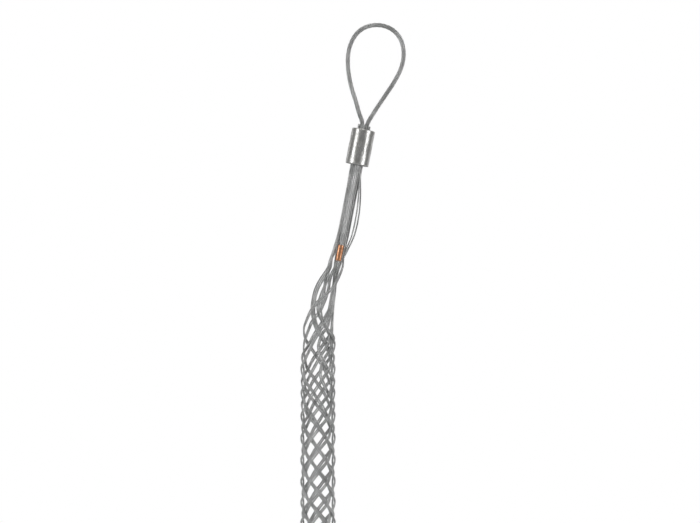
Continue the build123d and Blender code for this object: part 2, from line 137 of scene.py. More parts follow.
# Each band of two wires: the way it turns on its way down, the row in which it crosses the front,
# its first regular row, its crown and its two places in the lead. A crown is a list of
# (azimuth, height, lift), and a place is an angle on the lead's ring or core.
BANDS = {
    "back_a": (RIGHT, 24, 32, [(-238, 345, 0)], ("ring", 160, 140)),
    "turn_a": (
        RIGHT, 26, 26,
        [(96, 345, -2.0), (93, 320, 0), (86, 306, 0), (66, 299.5, 0), (38, 287.5, 0),
         (16, 277.5, 0), (8.5, 268.5, 0)],
        ("core", 180, 120),
    ),
    "turn_b": (
        RIGHT, 28, 28,
        [(68, 345, -1.0), (64, 329, 0), (55, 321.5, 0), (36, 312.5, 0), (12, 303.2, 0),
         (1.5, 293.5, 0)],
        ("core", 60, 0),
    ),
    "turn_c": (
        RIGHT, 30, 30,
        [(43, 366.5, 0), (22.5, 358, 0.6), (5.5, 350.5, 0), (-7.5, 343, 0), (-15, 333.7, 0),
         (-17, 326.2, 0), (-10, 316.8, 0)],
        ("ring", -61, -39),
    ),
    "turn_d": (
        RIGHT, 32, 29,
        [(25.1, 345, 0), (6.8, 330.5, 0), (11.5, 321.5, 0.1), (30, 313, 0), (58, 304, 0)],
        ("ring", -100, -80),
    ),
    "back_b": (RIGHT, 22, 30, [(-252, 344.5, 0), (-252, 325, 0)], ("ring", 120, 100)),
    "rim": (
        LEFT, 34, 29,
        [(85.5, 368, 3.7), (68, 358, 3.0), (52, 349, 2.2), (14, 338.5, 0), (-10, 332.5, 0),
         (-27, 325.7, 0), (-50, 318, 0), (-75, 311.5, 0), (-100, 305.5, 0), (-124, 300.5, 0)],
        ("ring", 60, 80),
    ),
    "front_a": (
        LEFT, 32, 28,
        [(42, 345.1, -0.6), (15, 328.5, 0), (-11.5, 319.9, 0), (-29, 313, 0), (-51, 303.7, 0),
         (-65, 299, 0), (-88, 293, 0)],
        ("ring", -20, 0),
    ),
    "front_b": (LEFT, 30, 31, [(54, 345, 0.5), (49, 331.5, 0)], ("ring", 20, 40)),
    "front_c": (LEFT, 28, 30, [(82, 345, -2.0), (80, 328, 0), (76, 316, 0)], ("core", 300, 240)),
    "far_a": (
        LEFT, 26, 29,
        [(145, 357, -1), (165, 344, 0), (183, 331, 0), (177.8, 322, -0.6), (159, 313, 0),
         (131, 304, 0)],
        ("ring", 220, 240),
    ),
    "far_b": (
        LEFT, 24, 30,
        [(146, 366.5, 0), (166.5, 358, 0), (183.5, 350.5, 0), (196.5, 343, 0),
         (204, 333.7, 0), (206, 326.2, 0), (199, 316.8, 0)],
        ("ring", 180, 200),
    ),
}
# bands that run on to the left below their neighbour before they turn
LATE_TURNS = ("turn_a", "turn_b")
LATE_TURN_DROP = 7.5
# each right-handed band turns back at the tail as this left-handed one
TAIL_PAIRS = (
    ("back_a", "rim"),
    ("turn_a", "front_a"),
    ("turn_b", "front_b"),
    ("turn_c", "front_c"),
    ("turn_d", "far_a"),
    ("back_b", "far_b"),
)
TAIL_BEND = 3.85  # radius of the middle of the two nested tail bends
SLACK_WIRES = {("rim", 1): 4.4, ("back_b", -1): 6.4}
SPLICED_BAND = "front_a"
BEHIND_SPLICE = "front_b"
ALL_LEGS = [(band, which) for pair in TAIL_PAIRS for which in (1, -1) for band in pair]


def row_height(row):
    return TAIL_ROW_HEIGHT + ROW_PITCH * row * (1 + ROW_STRETCH * (row / STRETCH_ROW) ** 2)


def row_at(height):
    """The row, with a fraction, at a height."""
    row = 0.0
    for _ in range(20):
        stretch = 1 + ROW_STRETCH * (row / STRETCH_ROW) ** 2
        row = (height - TAIL_ROW_HEIGHT) / (ROW_PITCH * stretch)
    return row


def row_azimuth(hand, front_row, row):
    twist = TWIST * exp(-(((row - TWIST_ROW) / TWIST_ROWS) ** 2))
    return FRONT_AZIMUTH + twist - hand * ROW_TURN * (row - front_row)


@cache
def band_line(band):
    """A band's middle line, unrolled: (distance round the cable, height) from crown to tail."""
    hand, front_row, first_row, crown, _ = BANDS[band]
    degrees_and_heights = [point[:2] for point in crown]
    for row in range(first_row, -1, -1):
        degrees_and_heights.append((row_azimuth(hand, front_row, row), row_height(row)))
    last = degrees_and_heights[-1]
    degrees_and_heights.append((last[0] + hand * ROW_TURN / 2, TAIL_ROW_HEIGHT - ROW_PITCH / 2))
    return [(azimuth * MM_PER_DEGREE, height) for azimuth, height in degrees_and_heights]


def distances(line):
    run = [0.0]
    for a, b in zip(line, line[1:]):
        run.append(run[-1] + hypot(b[0] - a[0], b[1] - a[1]))
    return run


def meeting(a, b, c, d):
    """Where the unrolled segment a-b crosses c-d, as a fraction of a-b, or None."""
    ab, cd, ac = (b[0] - a[0], b[1] - a[1]), (d[0] - c[0], d[1] - c[1]), (c[0] - a[0], c[1] - a[1])
    turn = ab[0] * cd[1] - ab[1] * cd[0]
    if abs(turn) < 1e-9:
        return None
    along = (ac[0] * cd[1] - ac[1] * cd[0]) / turn
    across = (ac[0] * ab[1] - ac[1] * ab[0]) / turn
    return along if 0 <= along < 1 and 0 <= across < 1 else None


def lean(a, b):
    """How far a segment moves round the cable for each millimetre that it goes down."""
    return (b[0] - a[0]) / (a[1] - b[1])


def runs_on_top(band, heading, other, height):
    """Right-going bands are on top in even rows, left-going ones in odd rows, the rim always."""
    if "rim" in (band, other) and height > row_height(29):
        return band == "rim"
    late = any(
        name in LATE_TURNS and going == LEFT for name, going in ((band, heading), (other, -heading))
    )
    row = round(row_at(height + LATE_TURN_DROP * late))
    return (heading == RIGHT) == (row % 2 == 0)


@cache
def crossings(band):
    """(distance along the band, is it on top, half length) where another band crosses it."""
    line = band_line(band)
    run = distances(line)
    whole_turn = 360 * MM_PER_DEGREE
    found = []
    for other in BANDS:
        if other == band:
            continue
        other_line = band_line(other)
        for start, a, b in zip(run, line, line[1:]):
            for c, d in zip(other_line, other_line[1:]):
                if min(a[1], b[1]) > max(c[1], d[1]) or max(a[1], b[1]) < min(c[1], d[1]):
                    continue
                nearest = round((a[0] - c[0]) / whole_turn)
                for turns in (nearest - 1, nearest, nearest + 1):
                    shift = turns * whole_turn
                    along = meeting(a, b, (c[0] + shift, c[1]), (d[0] + shift, d[1]))
                    if along is None:
                        continue
                    height = a[1] + along * (b[1] - a[1])
                    heading = RIGHT if lean(a, b) > lean(c, d) else LEFT
                    on_top = runs_on_top(band, heading, other, height)
                    length = hypot(b[0] - a[0], b[1] - a[1])
                    ab, cd = (b[0] - a[0], b[1] - a[1]), (d[0] - c[0], d[1] - c[1])
                    found.append((start + along * length, on_top, half_crossing(ab, cd)))
    found.sort()
    return [c for n, c in enumerate(found) if n == 0 or c[0] - found[n - 1][0] > 1]


def half_crossing(ab, cd):
    """How far a wire keeps its level to each side of the point where two bands cross."""
    turn = abs(ab[0] * cd[1] - ab[1] * cd[0])
    along = abs(ab[0] * cd[0] + ab[1] * cd[1])
    return PAIR_OFFSET / tan(atan2(turn, along) / 2) + CROSSING_MARGIN


def side_of(line, segment):
    a, b = line[segment], line[segment + 1]
    length = hypot(b[0] - a[0], b[1] - a[1])
    return ((a[1] - b[1]) / length, (b[0] - a[0]) / length)


def seat_radius(around, height):
    """The radius at which a wire lies, which grows toward the lead on the side of the collar."""
    toward_lead = max(0.0, cos(radians(around / MM_PER_DEGREE - SHOULDER_AZIMUTH)))
    return UNDER_RADIUS + SHOULDER_SLOPE * max(0.0, height - SHOULDER_HEIGHT) * toward_lead


def levels(band, run):
    """(distance along a band, lift above the cable), two for each crossing and some between."""
    met = crossings(band)
    spots = [spot for spot, _, _ in met]
    held = []
    for n, (spot, on_top, half) in enumerate(met):
        before = (spot - spots[n - 1]) / 2 if n else half
        after = (spots[n + 1] - spot) / 2 if n + 1 < len(met) else half
        lift = OVER_LIFT if on_top else 0.0
        held.append((spot - min(half, CROSSING_SHARE * before), lift))
        held.append((spot + min(half, CROSSING_SHARE * after), lift))
    between = []
    for distance in run:
        if min(abs(distance - spot) - half for spot, _, half in met) > WIRE_DIAMETER:
            nearest = min(held, key=lambda h: abs(h[0] - distance))
            settled = min(1.0, abs(nearest[0] - distance) / SETTLE_LENGTH)
            between.append((distance, nearest[1] * (1 - settled)))
    return sorted(held + between)


def band_points(band, which):
    """One wire of a band, from its crown down: (distance round the cable, height, radius)."""
    hand, _, _, crown, _ = BANDS[band]
    line = band_line(band)
    run = distances(line)
    crown_lifts = {distance: point[2] for distance, point in zip(run, crown)}
    points = []
    for distance, lift in levels(band, run):
        segment = max(n for n in range(len(line) - 1) if run[n] <= distance or n == 0)
        share = (distance - run[segment]) / (run[segment + 1] - run[segment])
        a, b = line[segment], line[segment + 1]
        around, height = a[0] + share * (b[0] - a[0]), a[1] + share * (b[1] - a[1])
        side = side_of(line, segment)
        if share == 0 and segment:
            before = side_of(line, segment - 1)
            both = (side[0] + before[0], side[1] + before[1])
            side = (both[0] / hypot(*both), both[1] / hypot(*both))
        offset = which * hand * PAIR_OFFSET
        radius = seat_radius(around, height) + lift + crown_lifts.get(distance, 0.0)
        points.append((around + offset * side[0], height + offset * side[1], radius))
    return points


def on_cable(around, height, radius):
    angle = around / MEAN_RADIUS
    return (radius * sin(angle), -radius * cos(angle), height)


def lead_point(radius, angle, below, bow=0.0):
    """A point of the lead, some way below the foot of the ferrule."""
    tilt, turn = radians(LEAD_TILT), radians(angle)
    across = radius * sin(turn) + bow
    x = FERRULE_FOOT[0] - below * sin(tilt) + across * cos(tilt)
    return (x, -radius * cos(turn), FERRULE_FOOT[2] - below * cos(tilt) - across * sin(tilt))


def leg_in_lead(band, which, below):
    kind, upper_angle, lower_angle = BANDS[band][4]
    radius = RING_RADIUS if kind == "ring" else CORE_RADIUS
    angle = upper_angle if which > 0 else lower_angle
    bow = SLACK_WIRES.get((band, which), 0.0) * max(0.0, sin(pi * below / BOW_LENGTH)) ** BOW_POWER
    return lead_point(radius, angle, below, bow)


def neck_point(band, which, height, toward_crown, around, radius):
    """(x, y) of a wire on its way from the lead to its crown point, clear of the cable."""
    seam_height = leg_in_lead(band, which, NECK_FLEX[1])[2]
    lead = leg_in_lead(band, which, NECK_FLEX[1] + (seam_height - height) / LEAD_AXIS[2])
    crown = on_cable(around, height, radius)
    x = lead[0] + toward_crown * (crown[0] - lead[0])
    y = lead[1] + toward_crown * (crown[1] - lead[1])
    clear = max(1.0, UNDER_RADIUS / hypot(x, y))
    return (x * clear, y * clear)


def neck_points(band, which, crown_point):
    """One wire from the lead's lower seam down to its first crown point."""
    around, crown_height, radius = crown_point
    seam = leg_in_lead(band, which, NECK_FLEX[1] + SEAM_GAP)
    partner_around, _, partner_radius = band_points(band, -which)[0]
    points = [seam]
    stations = STRAIGHT_STATIONS if band == BEHIND_SPLICE else NECK_STATIONS
    for share, toward_crown in stations:
        height = crown_height + share * (seam[2] - crown_height)
        own = neck_point(band, which, height, toward_crown, around, radius)
        partner = neck_point(band, -which, height, toward_crown, partner_around, partner_radius)
        gap = hypot(own[0] - partner[0], own[1] - partner[1])
        apart = max(0.0, NECK_PITCH / gap - 1) / 2
        x, y = (a + apart * (a - b) for a, b in zip(own, partner))
        points.append((x, y, height))
    if band == SPLICED_BAND:
        points[1:3] = splice_points(which)
    return points


def splice_points(which):
    """The two spliced wires run side by side through the copper sleeve."""
    reach = SPLICE_LENGTH / 2 + SPLICE_RUN_OUT
    aside = -which * SPLICE_HALF_PITCH
    ends = (SPLICE_MIDDLE - reach, SPLICE_MIDDLE + reach)
    return [lead_point(SPLICE_STANDOFF, 0, below, aside) for below in ends]


def leg_points(band, which):
    points = band_points(band, which)
    return neck_points(band, which, points[0]) + [on_cable(*point) for point in points]


def tail_bend(band, which):
    """Two points that round a wire's turn at the tail, unrolled."""
    hand, front_row = BANDS[band][:2]
    apex_around = (row_azimuth(hand, front_row, 0) + hand * ROW_TURN) * MM_PER_DEGREE
    half_angle = atan2(ROW_TURN * MM_PER_DEGREE, ROW_PITCH)
    centre_height = TAIL_ROW_HEIGHT - ROW_PITCH + TAIL_BEND / sin(half_angle)
    radius = TAIL_BEND - which * PAIR_OFFSET
    sideways = radius * tan((pi / 2 - half_angle) / 2)
    height = centre_height - radius
    seat = UNDER_RADIUS + OVER_LIFT / 2
    return [
        (apex_around - hand * sideways, height, seat),
        (apex_around + hand * sideways, height, seat),
    ]


def wire_route(down_band, up_band, which):
    """The whole mesh wire, from one leg's seam round the tail to the other leg's seam."""
    bend = [on_cable(*point) for point in tail_bend(down_band, which)]
    return leg_points(down_band, which) + bend + leg_points(up_band, which)[::-1]


def leg_in_ferrule(band, which, below):
    kind, upper_angle, lower_angle = BANDS[band][4]
    angle = upper_angle if which > 0 else lower_angle
    if kind == "core":
        return lead_point(*FERRULE_CORE[angle], below)
    return lead_point(FERRULE_RING, angle, below)


# ---- strands along their routes ----
def clear_selection():
    bpy.ops.object.select_all(action="DESELECT")
    bpy.context.view_layer.objects.active = None


def metres(*point):
    return tuple(value / 1000 for value in point)


def spline_points(route, steps=8):
    """Points in millimetres along the smooth spline that a route controls."""
    curve = bpy.data.curves.new("route", "CURVE")
    curve.dimensions = "3D"
    curve.resolution_u = steps
    spline = curve.splines.new("NURBS")
    spline.points.add(len(route) - 1)
    for control, point in zip(spline.points, route):
        control.co = (*point, 1)
    spline.order_u = 3
    spline.use_endpoint_u = True
    holder = bpy.data.objects.new("route", curve)
    mesh = bpy.data.meshes.new_from_object(holder)
    along = np.array([vertex.co[:] for vertex in mesh.vertices], float)
    bpy.data.objects.remove(holder)
    bpy.data.curves.remove(curve)
    bpy.data.meshes.remove(mesh)
    return along


def run_lengths(points):
    steps = np.linalg.norm(np.diff(points, axis=0), axis=1)
    return np.concatenate(([0.0], np.cumsum(steps)))


def evenly(points, spacing):
    run = run_lengths(points)
    stations = np.linspace(0, run[-1], max(2, round(run[-1] / spacing) + 1))
    return np.stack([np.interp(stations, run, points[:, axis]) for axis in range(3)], axis=1)


def carried_frames(points):
    """A tangent and two sides at each point, carried along without any twist of their own."""
    tangents = np.gradient(points, axis=0)
    tangents /= np.linalg.norm(tangents, axis=1)[:, None]
    side = np.array((0.0, 1.0, 0.0))
    sides = []
    for tangent in tangents:
        side = side - tangent * (side @ tangent)
        side /= np.linalg.norm(side)
        sides.append(side)
    sides = np.array(sides)
    return tangents, sides, np.cross(tangents, sides)


def lobe_profile(radius, lobes):
    """(angle, radius, groove) round a strand of round wires: four points for each wire."""
    wire = radius / 3
    middle = radius - wire
    shoulder_angle = radians(19)
    shoulder = middle * cos(shoulder_angle)
    shoulder += (wire**2 - (middle * sin(shoulder_angle)) ** 2) ** 0.5
    groove = middle * cos(pi / lobes)
    profile = []
    for lobe in range(lobes):
        angle = 2 * pi * lobe / lobes
        profile.append((angle - shoulder_angle, shoulder, 0.2))
        profile.append((angle, radius, 0.0))
        profile.append((angle + shoulder_angle, shoulder, 0.2))
        profile.append((angle + pi / lobes, groove, 1.0))
    return profile


def strand_shell(points, radius, lay, hand=1, lobes=6):
    """Vertices, faces and groove depths of one twisted strand, closed at both ends."""
    run = run_lengths(points)
    _, sides, ups = carried_frames(points)
    profile = lobe_profile(radius, lobes)
    angles = np.array([angle for angle, _, _ in profile])
    radii = np.array([reach for _, reach, _ in profile])
    turned = angles[None, :] + hand * 2 * pi * run[:, None] / lay
    ring = radii[None, :, None] * (
        np.cos(turned)[:, :, None] * sides[:, None, :] + np.sin(turned)[:, :, None] * ups[:, None, :]
    )
    shell = (points[:, None, :] + ring).reshape(-1, 3)
    count, round_count = len(points), len(profile)
    first = (np.arange(count - 1) * round_count)[:, None]
    here = np.arange(round_count)[None, :]
    after = (here + 1) % round_count
    quads = np.stack(
        (first + here, first + after, first + round_count + after, first + round_count + here), axis=2
    ).reshape(-1, 4)
    faces = quads.tolist()
    ends = len(shell)
    shell = np.concatenate((shell, points[:1], points[-1:]))
    last = (count - 1) * round_count
    for n in range(round_count):
        m = (n + 1) % round_count
        faces.append((ends, m, n))
        faces.append((ends + 1, last + n, last + m))
    grooves = np.tile([depth for _, _, depth in profile], count)
    return shell, faces, np.concatenate((grooves, (0.0, 0.0)))


def strand_piece(name, shells):
    """One piece made of several strands, with its groove depths as an attribute."""
    vertices = np.concatenate([shell for shell, _, _ in shells]) / 1000
    faces = []
    offset = 0
    for shell, its_faces, _ in shells:
        faces += [tuple(corner + offset for corner in face) for face in its_faces]
        offset += len(shell)
    mesh = bpy.data.meshes.new(name)
    mesh.from_pydata(vertices.tolist(), [], faces)
    # the groove depth drives the painted shade between the wires in the galvanised finishes
    depth = mesh.attributes.new("groove", "FLOAT", "POINT")
    depth.data.foreach_set("value", np.concatenate([g for _, _, g in shells]).astype(np.float32))
    mesh.update()
    piece = bpy.data.objects.new(name, mesh)
    bpy.context.scene.collection.objects.link(piece)
    clear_selection()
    piece.select_set(True)
    bpy.context.view_layer.objects.active = piece
    bpy.ops.object.shade_smooth_by_angle(angle=radians(70))
    return piece


def lead_axis_point(below):
    return metres(*lead_point(0, 0, below))


# ---- shader maths ----
class Value:
    """A socket of a material's nodes, which adds Math nodes as it is used in an expression."""

    def __init__(self, finish, socket):
        self.finish = finish
        self.socket = socket

    def maths(self, operation, *values):
        inputs = dict(enumerate(values))
        return self.finish.node("ShaderNodeMath", {"operation": operation}, inputs)

    def __add__(self, other):
        return self.maths("ADD", self, other)

    def __radd__(self, other):
        return self.maths("ADD", other, self)

    def __sub__(self, other):
        return self.maths("SUBTRACT", self, other)

    def __rsub__(self, other):
        return self.maths("SUBTRACT", other, self)

    def __mul__(self, other):
        return self.maths("MULTIPLY", self, other)

    def __rmul__(self, other):
        return self.maths("MULTIPLY", other, self)

    def __pow__(self, other):
        return self.maths("POWER", self, other)


class Finish:
    """One material, built node by node."""

    def __init__(self, name):
        self.material = bpy.data.materials.new(name)
        self.material.use_nodes = True
        self.nodes = self.material.node_tree.nodes
        self.links = self.material.node_tree.links
        self.nodes.clear()

    def node(self, kind, settings=None, inputs=None, output=0):
        made = self.nodes.new(kind)
        for setting, value in (settings or {}).items():
            if setting == "stops":
                ramp = made.color_ramp
                for stop, (place, colour) in zip(ramp.elements, value):
                    stop.position = place
                    stop.color = colour
            else:
                setattr(made, setting, value)
        for key, value in (inputs or {}).items():
            if isinstance(value, Value):
                self.links.new(value.socket, made.inputs[key])
            else:
                made.inputs[key].default_value = value
        return Value(self, made.outputs[output]) if made.outputs else None

    def place(self, scale=(1, 1, 1), turn=(0, 0, 0)):
        """Object coordinates, turned and stretched."""
        place = self.node("ShaderNodeTexCoord", output=3)
        inputs = {"Vector": place, "Rotation": turn, "Scale": scale}
        return self.node("ShaderNodeMapping", {"vector_type": "POINT"}, inputs)

    def noise(self, place, scale, detail=2.0, roughness=0.5):
        inputs = {"Vector": place, "Scale": scale, "Detail": detail, "Roughness": roughness}
        return self.node("ShaderNodeTexNoise", None, inputs)

    def between(self, value, low, high):
        """0 below low, 1 above high, smooth in between."""
        settings = {"interpolation_type": "SMOOTHSTEP"}
        inputs = {"Value": value, "From Min": low, "From Max": high}
        return self.node("ShaderNodeMapRange", settings, inputs)

    def mix(self, share, first, second):
        inputs = {0: share, 6: first, 7: second}
        return self.node("ShaderNodeMix", {"data_type": "RGBA"}, inputs, output=2)

    def attribute(self, name):
        return self.node("ShaderNodeAttribute", {"attribute_name": name}, output=2)

    def bump(self, height, strength, distance):
        inputs = {"Height": height, "Strength": strength, "Distance": distance}
        return self.node("ShaderNodeBump", None, inputs)

    def metal(self, colour, roughness, normal, metallic=1.0):
        inputs = {
            "Base Color": colour,
            "Roughness": roughness,
            "Normal": normal,
            "Metallic": metallic,
        }
        surface = self.node("ShaderNodeBsdfPrincipled", None, inputs)
        self.node("ShaderNodeOutputMaterial", None, {"Surface": surface})
        return self.material


def galvanised(name, bright, dull, dark):
    """Drawn zinc-coated wire: bright crests, painted shade in the grooves between its wires deepened
    in streaks, dull patches and a fine grain.
    """
    finish = Finish(name)
    place = finish.place()
    groove = finish.attribute("groove")
    patches = finish.between(finish.noise(place, 70, 3.0), 0.4, 0.65)
    grain = finish.noise(place, 2600, 2.0)
    streaks = finish.noise(finish.place(scale=(1, 1, 0.25)), 900, 2.0)
    zinc = finish.mix(patches, bright, dull)
    # painted shade: the grooves between the wires, broken up by streaks, are mixed toward the dark
    # colour and made rougher
    painted_groove_shade_and_streaks = finish.between(groove + 0.45 * streaks, 0.62, 1.25)
    colour = finish.mix(0.7 * painted_groove_shade_and_streaks, zinc, dark)
    roughness = 0.27 + 0.12 * patches + 0.2 * painted_groove_shade_and_streaks + 0.06 * grain
    return finish.metal(colour, roughness, finish.bump(grain, 0.25, 0.00003))


def swaged_metal(name, bright, dull, dark):
    """Swaged bright metal: long press marks, pits, handling scratches and darker patches."""
    finish = Finish(name)
    upright = (0, radians(-LEAD_TILT), 0)
    place = finish.place()
    patches = finish.between(finish.noise(place, 170, 4.0, 0.6), 0.42, 0.66)
    pits = finish.between(finish.noise(place, 1500, 2.0), 0.6, 0.7)
    scratches = finish.noise(finish.place(scale=(1, 1, 0.06), turn=upright), 2200, 2.0)
    hammered = finish.noise(place, 330, 2.0)
    metal = finish.mix(patches, bright, dull)
    colour = finish.mix(0.55 * pits, metal, dark)
    roughness = 0.2 + 0.1 * patches + 0.16 * scratches + 0.18 * pits
    height = 0.7 * hammered + 0.12 * scratches - 0.2 * pits
    return finish.metal(colour, roughness, finish.bump(height, 0.55, 0.0004))


def pressed_copper(name, bright, dull, dark):
    finish = Finish(name)
    place = finish.place()
    patches = finish.between(finish.noise(place, 420, 3.0), 0.38, 0.66)
    tarnish = finish.between(finish.noise(place, 1100, 3.0), 0.52, 0.72)
    grain = finish.noise(finish.place(scale=(1, 1, 0.2)), 3000, 2.0)
    colour = finish.mix(0.6 * tarnish, finish.mix(patches, bright, dull), dark)
    roughness = 0.3 + 0.14 * patches + 0.18 * tarnish
    return finish.metal(colour, roughness, finish.bump(grain, 0.3, 0.00008))


def pale_floor(name):
    finish = Finish(name)
    soft = finish.noise(finish.place(), 6, 2.0)
    colour = finish.mix(0.3 * soft, (0.95, 0.95, 0.95, 1), (0.9, 0.9, 0.9, 1))
    return finish.metal(colour, 0.7 + 0.1 * soft, finish.bump(soft, 0.02, 0.001), metallic=0.0)


# in the two galvanised finishes the last colour is the painted shade in the grooves between the wires
WIRE_FINISH = galvanised(
    "galvanised_strand", (0.74, 0.745, 0.74, 1), (0.55, 0.56, 0.555, 1), (0.13, 0.13, 0.125, 1)
)
ROPE_FINISH = galvanised(
    "galvanised_rope", (0.68, 0.685, 0.68, 1), (0.5, 0.505, 0.5, 1), (0.1, 0.1, 0.095, 1)
)
FERRULE_FINISH = swaged_metal(
    "swaged_metal", (0.72, 0.72, 0.7, 1), (0.5, 0.5, 0.475, 1), (0.2, 0.2, 0.19, 1)
)
COPPER_FINISH = pressed_copper(
    "pressed_copper", (0.86, 0.44, 0.25, 1), (0.68, 0.3, 0.15, 1), (0.24, 0.1, 0.05, 1)
)


# ---- wires ----
def leg_above_neck(band, which):
    """From the middle of the lead down to just above its lower seam."""
    belows = (LEAD_MIDDLE, LEAD_MIDDLE + 4, *NECK_FLEX[:1], sum(NECK_FLEX) / 2)
    return [leg_in_lead(band, which, below) for below in belows]


def woven_wire(number, down_band, up_band, which):
    route = leg_above_neck(down_band, which) + wire_route(down_band, up_band, which)
    route += leg_above_neck(up_band, which)[::-1]
    along = evenly(spline_points(route), STATION)
    shell = strand_shell(along, WIRE_DIAMETER / 2, STRAND_LAY)
    piece = strand_piece(f"woven_wire_{number:02d}", [shell])
    piece.data.materials.append(WIRE_FINISH)
    start, end = lead_axis_point(NECK_FLEX[1]), lead_axis_point(NECK_FLEX[0])
    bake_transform(piece)
    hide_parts(f"mesh_wire_{number:02d}", "neck_flex_wires")
    return piece


def upper_route(band, which):
    """From the middle of the lead up through the ferrule to the wire's cut end."""
    belows = (LEAD_MIDDLE, LEAD_MIDDLE - 4, HEAD_FLEX[1], 21)
    in_lead = [leg_in_lead(band, which, below) for below in belows]
    flexed = [leg_in_ferrule(band, which, below) for below in (11, HEAD_FLEX[0], 0)]
    top = FERRULE_LENGTH + END_STANDOUTS[ALL_LEGS.index((band, which))]
    spread = lead_point(*spread_end(band, which), -top)
    return in_lead + flexed + [leg_in_ferrule(band, which, -FERRULE_LENGTH), spread]


def spread_end(band, which):
    """The cut ends splay and wander a little where they leave the ferrule."""
    kind, upper_angle, lower_angle = BANDS[band][4]
    angle = upper_angle if which > 0 else lower_angle
    if kind == "core":
        return FERRULE_CORE[angle]
    return FERRULE_RING + 0.25 * sin(5 * angle), angle + 3 * sin(3 * angle)


END_STANDOUTS = [WIRE_END_STANDOUT - 1.1 * (0.5 + 0.5 * sin(2.3 * n)) for n in range(len(ALL_LEGS))]


def upper_wires(number, down_band, up_band, which):
    shells = []
    for band in (down_band, up_band):
        along = evenly(spline_points(upper_route(band, which)), STATION)
        shells.append(strand_shell(along, WIRE_DIAMETER / 2, STRAND_LAY))
    piece = strand_piece(f"upper_wire_{number:02d}", shells)
    piece.data.materials.append(WIRE_FINISH)
    start, end = lead_axis_point(HEAD_FLEX[1]), lead_axis_point(HEAD_FLEX[0])
    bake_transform(piece)
    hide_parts(f"lead_wire_{number:02d}", "head_flex_wires", "wire_ends")
    return piece


number = 0
for down_band, up_band in TAIL_PAIRS:
    for which in (1, -1):
        number += 1
        woven_wire(number, down_band, up_band, which)
        upper_wires(number, down_band, up_band, which)


# ---- eye rope ----
def rope_route():
    belows = (-FERRULE_LENGTH + ROPE_SINK, -FERRULE_LENGTH, -FERRULE_LENGTH - EYE_TILT_HEIGHT)
    left = [lead_point(ROPE_OFFSET, -90, below) for below in belows]
    right = [lead_point(ROPE_OFFSET, 90, below) for below in belows]
    return left + [(x, 0, z) for x, z in EYE_ROUTE] + right[::-1]


ROPE_SINK = 3.0  # the rope's piece starts this far inside the ferrule
strand_radius = ROPE_DIAMETER / 6
rope_line = evenly(spline_points(rope_route(), steps=16), STATION)
_, line_sides, line_ups = carried_frames(rope_line)
line_turns = 2 * pi * run_lengths(rope_line) / ROPE_LAY
rope_shells = [strand_shell(rope_line, strand_radius, STRAND_LAY)]
for strand_number in range(ROPE_STRANDS):
    turned = (line_turns + 2 * pi * strand_number / ROPE_STRANDS)[:, None]
    helix = rope_line + 2 * strand_radius * (np.cos(turned) * line_sides + np.sin(turned) * line_ups)
    rope_shells.append(strand_shell(helix, strand_radius, STRAND_LAY, hand=-1))
eye_rope = strand_piece("eye_loop_rope", rope_shells)
eye_rope.data.materials.append(ROPE_FINISH)
lead_axis_point(-FERRULE_LENGTH - EYE_TILT_HEIGHT + 6)
lead_axis_point(-FERRULE_LENGTH - EYE_TILT_HEIGHT - 6)
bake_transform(eye_rope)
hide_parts("eye_rope", "eye_rope_roots")
metres(*rope_line[0])
[metres(*point) for point in rope_line]


# ---- working in edit mode ----
def in_edit(piece, chosen, *steps):
    """Selects the faces whose centre and normal are chosen, then runs operators on them."""
    clear_selection()
    piece.select_set(True)
    bpy.context.view_layer.objects.active = piece
    bpy.ops.object.mode_set(mode="EDIT")
    bpy.ops.mesh.select_mode(type="FACE")
    bpy.ops.mesh.select_all(action="DESELECT")
    bpy.ops.object.mode_set(mode="OBJECT")
    for face in piece.data.polygons:
        face.select = bool(chosen(face))
    bpy.ops.object.mode_set(mode="EDIT")
    for step in steps:
        step()
    bpy.ops.object.mode_set(mode="OBJECT")


def turned_tube(name, radius, bore, length, mouth_depth, segments):
    """A solid round bar along Z with a recess of the bore's size in each end."""
    clear_selection()
    bpy.ops.mesh.primitive_cylinder_add(vertices=segments, radius=radius, depth=length)
    piece = bpy.context.object
    piece.name = piece.data.name = name
    for end in (1, -1):
        in_edit(
            piece,
            lambda face: face.normal.z * end > 0.9,
            lambda: bpy.ops.mesh.inset(thickness=radius - bore),
            lambda: bpy.ops.mesh.inset(thickness=0),
            lambda: bpy.ops.transform.translate(value=(0, 0, -end * mouth_depth)),
        )
    return piece


def cut_rings(piece, heights):
    """Rings of edges round a piece, at these heights along Z."""
    for height in heights:
        in_edit(
            piece,
            lambda face: True,
            lambda: bpy.ops.mesh.bisect(plane_co=(0, 0, height), plane_no=(0, 0, 1)),
        )


def stand_on_lead(piece, standoff, below):
    """Turns a piece made along Z to the lead's tilt and sets it in its place."""
    clear_selection()
    piece.select_set(True)
    bpy.context.view_layer.objects.active = piece
    piece.rotation_euler = (0, radians(LEAD_TILT), 0)
    piece.location = metres(*lead_point(standoff, 0, below))
    bpy.ops.object.transform_apply(location=True, rotation=True, scale=True)
    bpy.ops.object.shade_smooth_by_angle(angle=radians(35))


def add_bevel(piece, width, segments, angle):
    bevel = piece.modifiers.new("rounding", "BEVEL")
    bevel.width = width
    bevel.segments = segments
    bevel.limit_method = "ANGLE"
    bevel.angle_limit = radians(angle)
    bpy.context.view_layer.objects.active = piece
    bpy.ops.object.modifier_apply(modifier=bevel.name)


# ---- ferrule ----
half_ferrule = FERRULE_LENGTH / 2000
ferrule = turned_tube(
    "swaged_ferrule", FERRULE_DIAMETER / 2000, FERRULE_BORE / 1000, FERRULE_LENGTH / 1000, 0.004, 96
)
add_bevel(ferrule, 0.0008, 4, 50)
cut_rings(ferrule, [half_ferrule * share for share in np.linspace(-0.9, 0.9, 25)])


